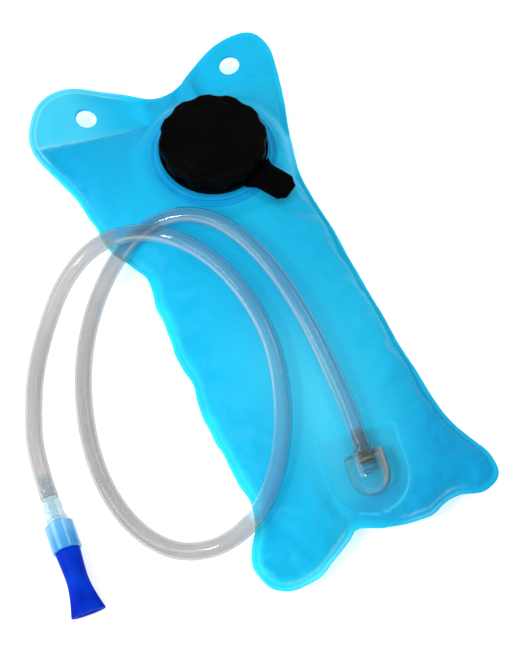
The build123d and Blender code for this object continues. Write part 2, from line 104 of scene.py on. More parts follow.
class Paint:
    """A node material under construction, with short calls for the nodes used here."""

    def __init__(self, name):
        self.material = bpy.data.materials.new(name)
        self.material.use_nodes = True
        self.nodes = self.material.node_tree.nodes
        self.links = self.material.node_tree.links
        self.shader = self.nodes["Principled BSDF"]
        self.output = self.nodes["Material Output"]

    def node(self, kind, **values):
        made = self.nodes.new(kind)
        for key, value in values.items():
            setattr(made, key, value)
        return made

    def link(self, source, target):
        self.links.new(source, target)
        return source

    def feed(self, socket, value):
        """Links an output to the socket, or sets its number or colour."""
        if isinstance(value, bpy.types.NodeSocket):
            self.link(value, socket)
        else:
            socket.default_value = (*value, 1.0) if isinstance(value, tuple) else value

    def set(self, **values):
        """Constant values on the shader, by socket name with underscores."""
        for key, value in values.items():
            self.shader.inputs[key.replace("_", " ")].default_value = value
        return self

    def place(self):
        return self.node("ShaderNodeTexCoord").outputs["Object"]

    def noise(self, scale, detail=3.0):
        made = self.node("ShaderNodeTexNoise")
        made.inputs["Scale"].default_value = scale
        made.inputs["Detail"].default_value = detail
        made.inputs["Roughness"].default_value = 0.55
        self.link(self.place(), made.inputs["Vector"])
        return made.outputs["Fac"]

    def mix(self, factor, a, b, kind="MIX"):
        made = self.node("ShaderNodeMix", data_type="RGBA", blend_type=kind)
        for socket, value in ((0, factor), (6, a), (7, b)):
            self.feed(made.inputs[socket], value)
        return made.outputs[2]

    def attribute(self, name):
        return self.node("ShaderNodeAttribute", attribute_name=name).outputs["Fac"]

    def span(self, value, low, high, to_low=0.0, to_high=1.0):
        made = self.node("ShaderNodeMapRange", interpolation_type="SMOOTHSTEP")
        for socket, number in zip(range(1, 5), (low, high, to_low, to_high)):
            made.inputs[socket].default_value = number
        self.link(value, made.inputs[0])
        return made.outputs[0]

    def math(self, kind, a, b):
        made = self.node("ShaderNodeMath", operation=kind)
        for socket, value in zip(made.inputs, (a, b)):
            self.feed(socket, value)
        return made.outputs[0]

    def mottle(self, scale, first, second, detail=3.0):
        """A colour that drifts between two, in patches of about that many to the metre."""
        return self.mix(self.span(self.noise(scale, detail), *PATCHES), first, second)

    def grain(self, scale, low, high):
        """Roughness that drifts between two values."""
        self.rough(self.span(self.noise(scale), *PATCHES, low, high))

    def colour(self, source):
        self.link(source, self.shader.inputs["Base Color"])

    def rough(self, source):
        self.link(source, self.shader.inputs["Roughness"])

    def bump(self, height, distance, strength=1.0):
        """Adds a bump of so many metres under the ones that are already there."""
        made = self.node("ShaderNodeBump")
        made.inputs["Strength"].default_value = strength
        made.inputs["Distance"].default_value = distance
        self.link(height, made.inputs["Height"])
        before = self.shader.inputs["Normal"].links
        if before:
            self.link(before[0].from_socket, made.inputs["Normal"])
        self.link(made.outputs["Normal"], self.shader.inputs["Normal"])

    def between(self, share, first, second):
        """A shader that is that share of the second one."""
        blend = self.node("ShaderNodeMixShader")
        self.feed(blend.inputs[0], share)
        self.link(first, blend.inputs[1])
        self.link(second, blend.inputs[2])
        return blend.outputs[0]

    def see_through(self, share, tint, gloss=0.0, sharp=0.1):
        """Lets that share of the light straight through, tinted, under a thin gloss."""
        clear = self.node("ShaderNodeBsdfTransparent")
        self.feed(clear.inputs["Color"], tint)
        made = self.between(share, self.shader.outputs[0], clear.outputs[0])
        if gloss:
            shine = self.node("ShaderNodeBsdfAnisotropic")
            self.feed(shine.inputs["Color"], (1.0, 1.0, 1.0))
            shine.inputs["Roughness"].default_value = sharp
            rim = self.node("ShaderNodeFresnel")
            rim.inputs["IOR"].default_value = 1.4
            inside_out = self.node("ShaderNodeNewGeometry").outputs["Backfacing"]
            amount = self.math("MULTIPLY", rim.outputs[0], gloss)
            amount = self.math("MULTIPLY", amount, self.math("SUBTRACT", 1.0, inside_out))
            made = self.between(amount, made, shine.outputs[0])
        self.link(made, self.output.inputs["Surface"])

    def down_axis(self, origin, direction):
        """Distance in millimetres along an axis of the row frame."""
        offset = self.node("ShaderNodeVectorMath", operation="SUBTRACT")
        self.link(self.place(), offset.inputs[0])
        offset.inputs[1].default_value = [x * MM for x in origin]
        dot = self.node("ShaderNodeVectorMath", operation="DOT_PRODUCT")
        self.link(offset.outputs[0], dot.inputs[0])
        dot.inputs[1].default_value = [x / MM for x in direction]
        return dot.outputs["Value"]


def plain(name, patches, first, second, grain, low, high):
    """A paint with a mottled colour and a grained roughness."""
    p = Paint(name)
    p.colour(p.mottle(patches, first, second))
    p.grain(grain, low, high)
    return p


def film_blue():
    p = Paint("film_blue")
    cloud = p.noise(11.0, 2.0)
    fine = p.noise(900.0, 2.0)
    body = p.mix(p.span(cloud, 0.32, 0.68), (0.005, 0.43, 0.73), (0.010, 0.485, 0.79))
    # Painted shade: the film darker towards the lower right, along the bottom right and at the top of the
    # chamber.
    body = p.mix(p.attribute("painted_shade"), body, (0.003, 0.32, 0.62))
    # Painted sheen: a broad lighter patch in the middle of the front, the left ear painted brighter, and a
    # painted highlight along the bead round the port's plate, brightest on its lower right.
    body = p.mix(p.attribute("painted_sheen"), body, (0.070, 0.64, 0.88))
    # Painted light along the film's edge: a brighter cyan band, widest and strongest on the left side.
    rim = p.math("MULTIPLY", p.attribute("rim"), p.span(p.noise(38.0, 1.0), 0.3, 0.6, 0.60, 1.0))
    body = p.mix(rim, body, (0.012, 0.78, 0.97))
    p.colour(p.mix(p.attribute("weld"), body, (0.22, 0.66, 0.84)))
    p.rough(p.span(fine, 0.3, 0.7, 0.38, 0.46))
    p.bump(fine, 0.00002, 0.4)
    p.set(IOR=1.45, Specular_IOR_Level=0.09)
    return p.material


def neck_blue():
    p = Paint("neck_blue")
    p.colour(p.mottle(40.0, (0.004, 0.32, 0.66), (0.008, 0.38, 0.74), 2.0))
    p.grain(700.0, 0.22, 0.32)
    p.set(Specular_IOR_Level=0.08)
    return p.material


def black_plastic(name, low, high):
    p = Paint(name)
    grain = p.noise(1500.0, 2.0)
    p.colour(p.mottle(40.0, (0.0004, 0.0004, 0.0005), (0.0015, 0.0015, 0.0017)))
    p.rough(p.span(grain, 0.3, 0.7, low, high))
    p.bump(grain, 0.00003, 0.5)
    p.set(Specular_IOR_Level=0.022)
    return p.material


def hose_clear():
    """Milky clear tube: "bore" its inner wall, "over" its run on the bag, with a painted highlight line on
    the side towards the coil's middle and painted shade on the side away from it.
    """
    p = Paint("hose_clear")
    bore, over, painted_highlight = p.attribute("bore"), p.attribute("over"), p.attribute("painted_highlight")
    painted_shade_side = p.math("MULTIPLY", p.attribute("painted_shade_side"), over)
    edge = p.node("ShaderNodeLayerWeight")
    edge.inputs["Blend"].default_value = 0.5
    rim = p.span(edge.outputs["Facing"], 0.45, 1.0)
    streak = p.span(p.noise(45.0, 2.0), 0.3, 0.7)
    free = p.mix(streak, (0.35, 0.34, 0.34), (0.45, 0.44, 0.435))
    # Over the bag the tube is painted bluer, as painted light thrown up from the bag, and darker on its side
    # away from the coil's middle, which is painted shade.
    laid = p.mix(painted_shade_side, (0.34, 0.53, 0.65), (0.05, 0.28, 0.46))
    # Painted shade: the tube's edges over the bag are painted dark, in place of refraction.
    laid = p.mix(p.math("MULTIPLY", rim, 0.75), laid, (0.03, 0.16, 0.28))
    # A painted highlight: a pale line along the tube's side towards the coil's middle.
    p.colour(p.mix(painted_highlight, p.mix(over, free, laid), (0.66, 0.75, 0.80)))
    p.grain(400.0, 0.22, 0.32)
    p.set(Specular_IOR_Level=0.3)
    outer = p.math("ADD", 0.74, p.math("MULTIPLY", over, 0.20))
    outer = p.math("SUBTRACT", outer, p.math("MULTIPLY", painted_highlight, 0.40))
    outer = p.math("SUBTRACT", outer, p.math("MULTIPLY", painted_shade_side, 0.10))
    clear = p.math("MAXIMUM", outer, p.math("MULTIPLY", bore, 0.96))
    share = p.math("SUBTRACT", clear, p.math("MULTIPLY", rim, 0.42))
    tint = p.mix(bore, (0.79, 0.78, 0.775), (0.95, 0.945, 0.95))
    # Over the bag the tint is bluer and lets more through, as painted light from the bag, and less on the
    # painted shade side.
    laid = p.mix(painted_shade_side, (0.90, 0.935, 0.95), (0.80, 0.86, 0.90))
    tint = p.mix(over, tint, p.mix(bore, laid, (0.93, 0.945, 0.96)))
    p.see_through(share, tint, gloss=0.9, sharp=0.07)
    return p.material


def clear_plastic():
    """Clear moulding: clear faces, edges painted dark brown and grey in place of refraction, one side wall
    darker and less clear, a milky nipple.
    """
    p = Paint("clear_plastic")
    edge = p.node("ShaderNodeLayerWeight")
    edge.inputs["Blend"].default_value = 0.5
    rim = p.span(edge.outputs["Facing"], 0.24, 0.90)
    way = unit(np.array(ROUTE[1]) - np.array(ROUTE[0]))
    side = unit(np.cross(way, [0, 0, 1.0]))
    above = p.down_axis(ROUTE[0], np.cross(side, way))
    plate = p.span(above, -5.8, -5.5, 1.0, 0.0)
    plug = p.span(p.down_axis(ROUTE[0], way), -3.2, -2.6)
    plug = p.math("MULTIPLY", plug, p.span(above, -5.4, -5.0))
    rim = p.math("MULTIPLY", rim, p.math("SUBTRACT", 1.0, p.math("MULTIPLY", plug, 0.6)))
    wall = p.span(p.down_axis(ROUTE[0], side), 3.5, 8.5)
    wall = p.math("MULTIPLY", wall, p.math("SUBTRACT", 1.0, plate))
    pale = p.mottle(120.0, (0.26, 0.35, 0.36), (0.40, 0.47, 0.46))
    pale = p.mix(plug, pale, (0.28, 0.50, 0.64))
    pale = p.mix(wall, pale, (0.15, 0.19, 0.19))
    # Painted shade: the edges, by their angle to the view, are painted dark in place of refraction.
    edges = p.mix(plug, (0.085, 0.088, 0.066), (0.04, 0.13, 0.19))
    p.colour(p.mix(rim, pale, edges))
    p.grain(500.0, 0.08, 0.16)
    p.set(Specular_IOR_Level=0.6)
    share = p.math("SUBTRACT", 0.965, p.math("MULTIPLY", rim, 0.66))
    share = p.math("SUBTRACT", share, p.math("MULTIPLY", plug, 0.06))
    share = p.math("SUBTRACT", share, p.math("MULTIPLY", wall, 0.80))
    share = p.math("MAXIMUM", share, p.math("MULTIPLY", plate, 0.99))
    tint = p.mix(plate, (0.84, 0.90, 0.92), (0.985, 0.99, 0.99))
    p.see_through(share, tint, gloss=p.span(plate, 0.0, 1.0, 0.8, 0.25), sharp=0.06)
    return p.material


def o_ring_amber():
    p = plain("o_ring_amber", 800.0, (0.50, 0.34, 0.12), (0.64, 0.47, 0.20), 900.0, 0.3, 0.45)
    p.see_through(0.45, (1.0, 0.95, 0.85))
    return p.material


def silicone():
    p = plain("silicone", 300.0, (0.55, 0.55, 0.53), (0.68, 0.68, 0.66), 700.0, 0.4, 0.55)
    return p.material


def connector_blue():
    p = Paint("connector_blue")
    down = p.down_axis(ROUTE[-1], DRINK_WAY)
    cup = p.mix(p.span(down, 18.0, 33.0), (0.10, 0.47, 0.84), (0.025, 0.34, 0.80))
    pale = p.mix(p.span(p.noise(160.0), 0.35, 0.65), (0.38, 0.56, 0.64), (0.52, 0.65, 0.70))
    p.colour(p.mix(p.span(down, 13.6, 15.4), pale, cup))
    p.grain(600.0, 0.14, 0.24)
    p.set(Specular_IOR_Level=0.5)
    share = p.span(down, 13.0, 17.0, 0.62, 0.24)
    share = p.math("MAXIMUM", share, p.span(down, 0.0, 1.0, 0.93, 0.0))
    p.see_through(share, (0.90, 0.97, 1.0), gloss=0.8, sharp=0.1)
    return p.material


def valve_blue():
    p = plain("valve_blue", 70.0, (0.0002, 0.016, 0.40), (0.0005, 0.038, 0.54), 900.0, 0.36, 0.5)
    p.bump(p.noise(1200.0), 0.00003, 0.5)
    p.set(Specular_IOR_Level=0.03)
    return p.material


PAINT = {
    "film_blue": film_blue(),
    "neck_blue": neck_blue(),
    "cap_black": black_plastic("cap_black", 0.38, 0.5),
    "leash_black": black_plastic("leash_black", 0.45, 0.6),
    "silicone": silicone(),
    "clear_plastic": clear_plastic(),
    "o_ring_amber": o_ring_amber(),
    "hose_clear": hose_clear(),
    "connector_blue": connector_blue(),
    "valve_blue": valve_blue(),
}

# ---- mesh helpers


def build(name, verts, faces, slot, body, replaced=()):
    """A mesh piece from points in millimetres, painted, riding on a body."""
    mesh = bpy.data.meshes.new(name)
    mesh.from_pydata([tuple(x * MM for x in v) for v in verts], [], [tuple(f) for f in faces])
    mesh.validate()
    mesh.update()
    mesh.polygons.foreach_set("use_smooth", [True] * len(mesh.polygons))
    piece = bpy.data.objects.new(name, mesh)
    scene.collection.objects.link(piece)
    mesh.materials.append(PAINT[slot])
    if body:
        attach(piece, body)
    if replaced:
        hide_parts(*replaced)
    return piece


def grid_faces(rows, columns):
    """Quads between rows of points, each row closed on itself."""
    return [
        (
            i * columns + k, i * columns + (k + 1) % columns,
            (i + 1) * columns + (k + 1) % columns, (i + 1) * columns + k,
        )
        for i in range(rows - 1)
        for k in range(columns)
    ]


def lathe(profile, centre, around, radius=lambda r, z, turn: r):
    """A closed form turned about a vertical axis: its profile of (r, z) runs from axis to axis."""
    verts = [(*centre, profile[0][1])]
    for r, z in profile[1:-1]:
        for k in range(around):
            turn = tau * k / around
            far = radius(r, z, turn)
            verts.append((centre[0] + far * cos(turn), centre[1] + far * sin(turn), z))
    verts.append((*centre, profile[-1][1]))
    rows = len(profile) - 2
    faces = [tuple(q + 1 for q in f[::-1]) for f in grid_faces(rows, around)]
    last = 1 + (rows - 1) * around
    faces += [(0, 1 + k, 1 + (k + 1) % around) for k in range(around)]
    faces += [(last + (k + 1) % around, last + k, len(verts) - 1) for k in range(around)]
    return verts, faces


def closed_faces(verts, rows, around, ends):
    """Faces of a form of such rows. Adds its two end points, to which its first and last rows fan."""
    faces = grid_faces(rows, around)
    verts += ends
    first = (rows - 1) * around
    for k in range(around):
        faces.append((len(verts) - 2, (k + 1) % around, k))
        faces.append((len(verts) - 1, first + k, first + (k + 1) % around))
    return faces


def squared(value, power):
    """A cosine or sine raised to a power with its sign kept, which squares off a circle."""
    return abs(value) ** power * (1 if value >= 0 else -1)


def smooth(value, low, high):
    """A soft step from 0 at low to 1 at high, for a number or an array."""
    t = np.clip((value - low) / (high - low), 0, 1)
    return t * t * (3 - 2 * t)


# ---- hose

def centreline(route, steps):
    """Points along the NURBS spline whose control points are the route's."""
    curve = bpy.data.curves.new("route", "CURVE")
    curve.dimensions = "3D"
    curve.resolution_u = steps
    spline = curve.splines.new("NURBS")
    spline.points.add(len(route) - 1)
    for point, co in zip(spline.points, route):
        point.co = (*(x * MM for x in co), 1.0)
    spline.order_u = 3
    spline.use_endpoint_u = True
    holder = bpy.data.objects.new("route", curve)
    scene.collection.objects.link(holder)
    bpy.context.view_layer.update()
    mesh = bpy.data.meshes.new_from_object(holder)
    points = [v.co.copy() for v in mesh.vertices]
    bpy.data.objects.remove(holder)
    bpy.data.meshes.remove(mesh)
    bpy.data.curves.remove(curve)
    return points


def frames_along(points):
    """(tangent, side, up) at each point, carried without twist."""
    tangents = [
        (points[min(i + 1, len(points) - 1)] - points[max(i - 1, 0)]).normalized()
        for i in range(len(points))
    ]
    side = Vector((0, 0, 1)).cross(tangents[0]).normalized()
    made = []
    for tangent in tangents:
        side = (side - tangent * side.dot(tangent)).normalized()
        made.append((tangent, side, tangent.cross(side)))
    return made


def pipe(points, outer, inner, around):
    """Vertices in millimetres and faces of a hollow tube with closed ends."""
    frames = frames_along(points)
    verts = []
    for radius in (outer, inner):
        for point, (_, side, up) in zip(points, frames):
            for k in range(around):
                a = tau * k / around
                verts.append(point / MM + (side * cos(a) + up * sin(a)) * radius)
    count = len(points)
    faces = grid_faces(count, around)
    faces += [tuple(q + count * around for q in f[::-1]) for f in grid_faces(count, around)]
    for row, flip in ((0, True), (count - 1, False)):
        for k in range(around):
            a, b = row * around + k, row * around + (k + 1) % around
            quad = (a, b, b + count * around, a + count * around)
            faces.append(quad[::-1] if flip else quad)
    return verts, faces


# The bite valve: (distance down the axis, half width, half height) from the bottom of the socket that
# takes the connector's spigot, back to its foot and out to its lips.
VALVE = [
    (32.0, 4.3, 4.3), (31.6, 4.3, 4.3), (24.1, 4.3, 4.3), (23.8, 4.5, 4.5), (23.8, 6.4, 6.4),
    (24.1, 6.95, 6.95), (31.0, 7.0, 7.0), (33.2, 7.05, 7.0), (34.6, 7.2, 7.0),
    (36.0, 7.1, 6.9), (38.5, 6.9, 6.6), (41.0, 6.75, 6.35), (45.5, 6.45, 5.95), (50.0, 6.3, 5.65),
    (54.0, 6.55, 5.45), (58.0, 7.1, 5.25), (62.0, 7.9, 4.95), (65.5, 8.7, 4.7), (68.5, 9.45, 4.5),
    (69.8, 9.8, 4.45), (70.5, 9.95, 4.35), (70.9, 9.8, 4.1), (71.0, 9.3, 3.6), (70.9, 8.2, 2.6),
    (70.7, 7.0, 1.5), (70.5, 6.0, 0.75), (70.0, 5.3, 0.4), (68.0, 5.1, 0.3), (65.5, 5.0, 0.25),
]


def bite_valve():
    """Vertices in millimetres and faces of the valve, flattened and slit at its lips."""
    side = Vector((0, 0, 1)).cross(DRINK_WAY).normalized()
    up = DRINK_WAY.cross(side)
    foot, around, verts = Vector(ROUTE[-1]), 64, []
    for down, half_width, half_height in VALVE:
        square = 1.0 - 0.18 * smooth(down, 45.0, 70.0)
        for k in range(around):
            c, n = cos(tau * k / around), sin(tau * k / around)
            x, y = half_width * squared(c, square), half_height * squared(n, square)
            verts.append(foot + DRINK_WAY * down + side * x + up * y)
    ends = [foot + DRINK_WAY * VALVE[0][0], foot + DRINK_WAY * VALVE[-1][0]]
    return verts, closed_faces(verts, len(VALVE), around, ends)


valve = build("bite_valve_skin", *bite_valve(), "valve_blue", "valve", ["bite_valve"])
hose_path = centreline(ROUTE, 10)
HOSE_AROUND = 32
tube = pipe(hose_path, HOSE_D / 2, HOSE_BORE_D / 2, HOSE_AROUND)
hose = build("hose_tube", *tube, "hose_clear", "bag", ["hose"])

# ---- the film bag

SEAM_Z = 14.0
WELD = 4.6  # width of the edge weld
WELD_LINES = ((1.4, 0.5), (4.2, 0.6))  # its two ridges: how far in from the edge, and how wide
TABLE = 0.02  # the lowest that the film lies over the table
DOME_X = 1.0
HANG_HOLES = ((-45.0, 158.0), (56.0, 157.0))
HANG_HOLE_R = 6.5
NECK_X, NECK_Y, NECK_Z, FLANGE_R = 14.0, 88.5, 31.0, 40.0
# Listed from edge positions that a script measured in the photo.
OUTLINE = [
    (8, 152.3), (18.5, 155), (28, 162.3), (38, 168.8), (49, 173.7), (60, 177), (72, 177.5),
    (81, 174), (85.5, 165.5), (86, 157), (83.8, 144), (80.2, 129), (76.6, 116), (72, 101.5),
    (67.2, 86), (63.2, 70.5), (61.3, 54), (61.3, 30), (61.6, 4), (61.8, -20), (62, -50),
    (62.3, -85), (62.7, -108), (64.5, -126.5), (68.5, -138), (73, -149.5), (76.3, -159.5),
    (76, -168), (70, -175.3), (62, -177.5), (55.5, -176), (50, -174.2), (44, -173.9), (37.5, -175.4),
    (27, -177.8), (17, -177.6), (7.5, -175.6), (-3, -171.8), (-9.5, -168.7), (-14.5, -166.9),
    (-19.5, -169.7), (-28, -175.6), (-39.5, -181.7), (-51, -184.4), (-62, -184), (-70.5, -180.4),
    (-76, -172), (-76.3, -162), (-72.8, -153), (-66.5, -143.5), (-62.5, -133), (-61.8, -120),
    (-63.3, -100), (-64, -80), (-62.8, -57), (-61.2, -40), (-62, -25), (-60, -8), (-59.3, 10),
    (-57, 22), (-57.6, 34), (-62.5, 45), (-67.5, 56), (-70.5, 70), (-72, 85), (-73, 101),
    (-76.5, 115), (-80, 126.5), (-84, 138), (-85.5, 149), (-82.5, 161), (-76, 171.8),
    (-67, 180.5), (-56.5, 184.2), (-46, 183.2), (-35, 178.8), (-23.5, 172.3), (-10.5, 161.8),
    (-1, 154.5),
]
# The weld lines that close the chamber off from the two ears.
CROSS_WELDS = (((-80.0, 148.0), (-11.0, 134.0)), ((30.0, 138.0), (76.0, 144.0)))
# Station along Y, rise of the front film and drop of the back film at the chamber's middle.
FILL = [
    (-142, 9.5, 12), (-112, 13, 17), (-60, 18.5, 18.5), (0, 21, 19), (48, 20, 18.5),
    (86, 17, 17), (116, 11, 14), (134, 5, 6),
]


def closed_spline(points, spacing):
    """Evenly spaced points on the closed cubic spline through the given ones."""
    p = np.array(points, float)
    n = len(p)
    h = np.linalg.norm(np.roll(p, -1, 0) - p, axis=1)
    system, right = np.zeros((n, n)), np.zeros((n, 2))
    for i in range(n):
        before = h[i - 1]
        system[i, i - 1] += before
        system[i, i] += 2 * (before + h[i])
        system[i, (i + 1) % n] += h[i]
        right[i] = 6 * ((p[(i + 1) % n] - p[i]) / h[i] - (p[i] - p[i - 1]) / before)
    m = np.linalg.solve(system, right)
    fine = []
    for i in range(n):
        j = (i + 1) % n
        t = np.linspace(0, h[i], 40, endpoint=False)[:, None]
        u = h[i] - t
        fine.append(
            (m[i] * u**3 + m[j] * t**3) / (6 * h[i])
            + (p[i] / h[i] - m[i] * h[i] / 6) * u
            + (p[j] / h[i] - m[j] * h[i] / 6) * t
        )
    fine = np.concatenate(fine)
    fine -= (fine.min(0) + fine.max(0)) / 2
    step = np.linalg.norm(np.roll(fine, -1, 0) - fine, axis=1)
    along = np.concatenate([[0], np.cumsum(step)])
    count = int(round(along[-1] / spacing))
    wanted = np.linspace(0, along[-1], count, endpoint=False)
    ring = np.vstack([fine, fine[:1]])
    return np.stack([np.interp(wanted, along, ring[:, k]) for k in (0, 1)], 1)


def to_outline(points):
    """Distance from each point to the outline, how far along it the nearest place is, and the way out."""
    a = EDGE
    b = np.roll(EDGE, -1, 0)
    d = b - a
    length = np.linalg.norm(d, axis=1)
    start = np.concatenate([[0], np.cumsum(length)[:-1]])
    near = np.full(len(points), 1e9)
    place = np.zeros(len(points))
    outward = np.zeros((len(points), 2))
    for first in range(0, len(points), 2000):
        q = points[first : first + 2000, None, :] - a[None]
        t = np.clip((q * d).sum(-1) / length**2, 0, 1)
        gap = np.linalg.norm(q - t[..., None] * d, axis=-1)
        best = gap.argmin(1)
        rows = np.arange(len(best))
        near[first : first + 2000] = gap[rows, best]
        place[first : first + 2000] = start[best] + t[rows, best] * length[best]
        outward[first : first + 2000] = np.stack([-d[best, 1], d[best, 0]], 1) / length[best, None]
    return near, place, outward


def edge_gap(points):
    return to_outline(points)[0]


def inside(points):
    """Which points lie inside the outline."""
    a, b = EDGE, np.roll(EDGE, -1, 0)
    found = np.zeros(len(points), bool)
    for first in range(0, len(points), 4000):
        x, y = points[first : first + 4000, :1], points[first : first + 4000, 1:]
        spans = (a[None, :, 1] > y) != (b[None, :, 1] > y)
        slope = np.where(b[:, 1] == a[:, 1], 1e-9, b[:, 1] - a[:, 1])
        hit = a[None, :, 0] + (y - a[None, :, 1]) * (b[:, 0] - a[:, 0]) / slope
        found[first : first + 4000] = (spans & (hit > x)).sum(1) % 2 == 1
    return found


def hole_gap(points):
    """Distance to the middle of the nearest hanging hole."""
    return np.min([np.hypot(*(points - hole).T) for hole in HANG_HOLES], 0)


def weld_ridges(gap):
    """How much of the edge weld's ridges there is, so far in from the edge."""
    return sum(np.exp(-(((gap - at) / wide) ** 2)) for at, wide in WELD_LINES)


def past_weld(points):
    """How far each point lies on the ears' side of the cross welds, and negative in the chamber."""
    found = np.full(len(points), -1e3)
    for (ax, ay), (bx, by) in CROSS_WELDS:
        along = np.array([bx - ax, by - ay])
        size = np.linalg.norm(along)
        off = ((points[:, 1] - ay) * along[0] - (points[:, 0] - ax) * along[1]) / size
        inner = bx if ax < 0 else ax
        reach = (points[:, 0] - inner) * (-1 if ax < 0 else 1)
        found = np.maximum(found, np.minimum(off, reach + 2.0))
    return found


def relax(mask, field, rounds):
    """Rounds of the membrane equation on a grid, held at zero outside the mask."""
    for _ in range(rounds):
        field[1:-1, 1:-1] = 0.25 * (
            field[2:, 1:-1] + field[:-2, 1:-1] + field[1:-1, 2:] + field[1:-1, :-2] + 1.0
        )
        field[~mask] = 0
    return field


def crimps(flat, turn, gap, outward):
    """How far each point moves for the small irregular crimps of the weld on the left and lower edges."""
    x, y = flat[:, 0], flat[:, 1]
    left = smooth(-x, 40, 58) * smooth(-y, -130, -60) * smooth(y, -150, -120)
    low = smooth(-y, 155, 168)
    amount = np.maximum(0.60 * left, 0.55 * low) + 0.06
    ripple = (
        0.60 * np.sin(24 * turn + 1.0) + 0.45 * np.sin(41 * turn + 2.6) + 0.25 * np.sin(66 * turn)
    )
    return outward * (amount * ripple * np.exp(-gap / 7.0))[:, None]


EDGE = closed_spline(OUTLINE, 1.6)
EDGE -= (EDGE.min(0) + EDGE.max(0)) / 2
GRID_X, GRID_Y = np.arange(-96, 97, 1.0), np.arange(-200, 201, 1.0)


def membrane():
    """The height of a film blown up over the chamber, on the grid, for unit pressure."""
    field = None
    for cell, rounds in ((8, 200), (4, 400), (2, 700), (1, 500)):
        xs, ys = GRID_X[::cell], GRID_Y[::cell]
        gx, gy = np.meshgrid(xs, ys, indexing="ij")
        flat = np.stack([gx.ravel(), gy.ravel()], 1)
        gap = edge_gap(flat)
        mask = inside(flat) & (gap > WELD) & (past_weld(flat) < 0)
        mask = mask.reshape(gx.shape)
        mask[[0, -1]] = False
        mask[:, [0, -1]] = False
        if field is None:
            field = np.zeros(gx.shape)
        else:
            field = np.repeat(np.repeat(field, 2, 0), 2, 1)[: gx.shape[0], : gx.shape[1]] * 4
        field = relax(mask, field, rounds)
    return field


def sample(field, points):
    """Values of a field on the grid at points, bilinear."""
    fx, fy = points[:, 0] - GRID_X[0], points[:, 1] - GRID_Y[0]
    i = np.clip(fx.astype(int), 0, len(GRID_X) - 2)
    j = np.clip(fy.astype(int), 0, len(GRID_Y) - 2)
    u, v = fx - i, fy - j
    return (
        field[i, j] * (1 - u) * (1 - v)
        + field[i + 1, j] * u * (1 - v)
        + field[i, j + 1] * (1 - u) * v
        + field[i + 1, j + 1] * u * v
    )


# The port's plate: its plane, and its place in the plate's own directions.
OUTLET_AT = np.array(ROUTE[0])
OUTLET_ALONG = unit(np.array(ROUTE[1]) - OUTLET_AT)
OUTLET_SIDE = unit(np.cross([0, 0, 1.0], OUTLET_ALONG))
OUTLET_UP = np.cross(OUTLET_ALONG, OUTLET_SIDE)
AXIS_RISE, PLATE_T, PLATE_HALF, PLATE_TOP, PLATE_STRAIGHT = 6.0, 1.6, 21.5, 11.0, 13.5
BED = OUTLET_AT - OUTLET_UP * (AXIS_RISE + PLATE_T)


def plate_plane(points):
    """Height of the plate's underside over each point, and each point's distance outside the plate."""
    normal = OUTLET_UP
    height = BED[2] - ((points - BED[:2]) @ normal[:2]) / normal[2]
    local = np.column_stack([points, height]) - BED
    across, down = local @ OUTLET_SIDE, -(local @ OUTLET_ALONG)
    straight = np.hypot(
        np.maximum(np.abs(across) - PLATE_HALF, 0), np.maximum(-PLATE_TOP - down, 0)
    )
    rounded = np.maximum(np.hypot(across, down - PLATE_STRAIGHT) - PLATE_HALF, 0)
    return height, np.where(down < PLATE_STRAIGHT, straight, rounded)


def plate_rings():
    """Points on the film round the port's plate, where it is welded on."""
    made = []
    for grow in (0.9, 1.7, 2.5):
        half, low, high = PLATE_HALF + grow, -PLATE_TOP - grow, PLATE_STRAIGHT
        sides = np.arange(low, high, 1.7)
        top = np.arange(-half + 1.7, half, 1.7)
        turn = np.arange(0, pi + 0.01, 1.7 / half)
        line = [(s * half, d) for s in (-1, 1) for d in sides] + [(a, low) for a in top]
        line += [(half * cos(t), high + half * sin(t)) for t in turn]
        made += [(BED + OUTLET_SIDE * a - OUTLET_ALONG * d)[:2] for a, d in line]
    made = np.array(made)
    gap = edge_gap(made)
    return made[inside(made) & (gap > 9.0)]


def loops_inside(depths):
    """Points on lines parallel to the outline, at those depths."""
    tangent = np.roll(EDGE, -1, 0) - np.roll(EDGE, 1, 0)
    tangent /= np.linalg.norm(tangent, axis=1)[:, None]
    inward = np.stack([tangent[:, 1], -tangent[:, 0]], 1)
    if not inside(EDGE[:1] + inward[:1] * 2)[0]:
        inward = -inward
    made = []
    for number, depth in enumerate(depths):
        base = (EDGE + np.roll(EDGE, -1, 0)) / 2 if number % 2 == 0 else EDGE
        line = base + inward * depth
        gap = edge_gap(line)
        made.append(line[(gap > 0.93 * depth) & inside(line)])
    return np.concatenate(made)


